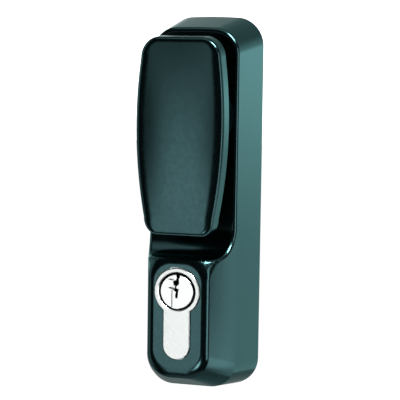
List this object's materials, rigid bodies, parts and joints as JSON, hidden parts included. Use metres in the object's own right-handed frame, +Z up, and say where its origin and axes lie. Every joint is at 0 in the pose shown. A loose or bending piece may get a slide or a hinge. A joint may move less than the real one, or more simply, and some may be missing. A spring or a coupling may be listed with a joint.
{
  "type": "knob lockset",
  "caption": "Outside door unit with a paddle turn knob above a profile lock cylinder; the key couples or frees the knob and its square spindle.",
  "frame": {"origin": "on the knob and spindle axis, at the door face", "axes": "+X to the right as seen from outside, +Y into the door along the spindle, +Z up"},
  "size_m": [0.038, 0.081, 0.1382],
  "materials": {
    "dark_enamel": "glossy dark teal enamel on a zinc casting",
    "case_nickel": "bright nickel plate",
    "plug_nickel": "bright nickel plate, turned face",
    "zinc_plate": "zinc plated steel",
    "bright_steel": "cold drawn steel",
    "sintered_steel": "oiled sintered steel",
    "spring_steel": "oil tempered wire",
    "brass": "turned brass",
    "bronze": "sintered bronze",
    "nylon": "natural nylon"
  },
  "bodies": {
    "housing": {"housing": "dark_enamel", "shank_bush": "bronze", "thrust_washer": "nylon", "back_plate": "zinc_plate", "back_plate_screws": "zinc_plate", "fixing_inserts": "bright_steel", "fork_guide_pins": "bright_steel", "return_spring": "spring_steel", "cylinder_case": "case_nickel", "driver_pins": "brass", "pin_springs": "spring_steel", "chamber_plugs": "brass", "cylinder_bracket": "zinc_plate", "cylinder_screw": "zinc_plate", "bracket_screw": "zinc_plate"},
    "knob": {"knob": "dark_enamel", "drive_disc": "sintered_steel", "shank_circlip": "spring_steel"},
    "follower": {"spindle_follower": "sintered_steel", "drive_spindle": "bright_steel", "spindle_pin": "spring_steel"},
    "clutch": {"clutch_ring": "sintered_steel"},
    "fork": {"shift_fork": "zinc_plate", "fork_pin": "bright_steel"},
    "slide": {"lock_slide": "zinc_plate"},
    "plug": {"key_plug": "plug_nickel", "key_pins": "brass", "cam": "sintered_steel", "plug_circlip": "spring_steel"}
  },
  "joints": [
    {"name": "knob_turn", "type": "hinge", "parent": "housing", "child": "knob", "pos_m": [0, -0.03, 0], "axis": [0, -1, 0], "range_deg": [-60, 60], "stiffness_Nm_per_rad": 0.25, "deforming": ["return_spring"]},
    {"name": "follower_turn", "type": "hinge", "parent": "housing", "child": "follower", "pos_m": [0, 0, 0], "axis": [0, -1, 0], "range_deg": [-60, 60]},
    {"name": "clutch_slide", "type": "slide", "parent": "follower", "child": "clutch", "axis": [0, 1, 0], "range_m": [0, 0.003]},
    {"name": "fork_slide", "type": "slide", "parent": "housing", "child": "fork", "axis": [0, 1, 0], "range_m": [0, 0.003]},
    {"name": "lock_slide_lift", "type": "slide", "parent": "housing", "child": "slide", "axis": [0, 0, 1], "range_m": [0, 0.01556]},
    {"name": "key_turn", "type": "hinge", "parent": "housing", "child": "plug", "pos_m": [0, -0.04, -0.062], "axis": [0, -1, 0], "range_deg": [0, 90]}
  ],
  "couplings": [
    {"joint": "follower_turn", "follows": "knob_turn", "ratio": 1},
    {"joint": "clutch_slide", "follows": "key_turn", "m_per_rad": 0.0019098},
    {"joint": "fork_slide", "follows": "key_turn", "m_per_rad": 0.0019098},
    {"joint": "lock_slide_lift", "follows": "key_turn", "m_per_rad": 0.0099035}
  ]
}
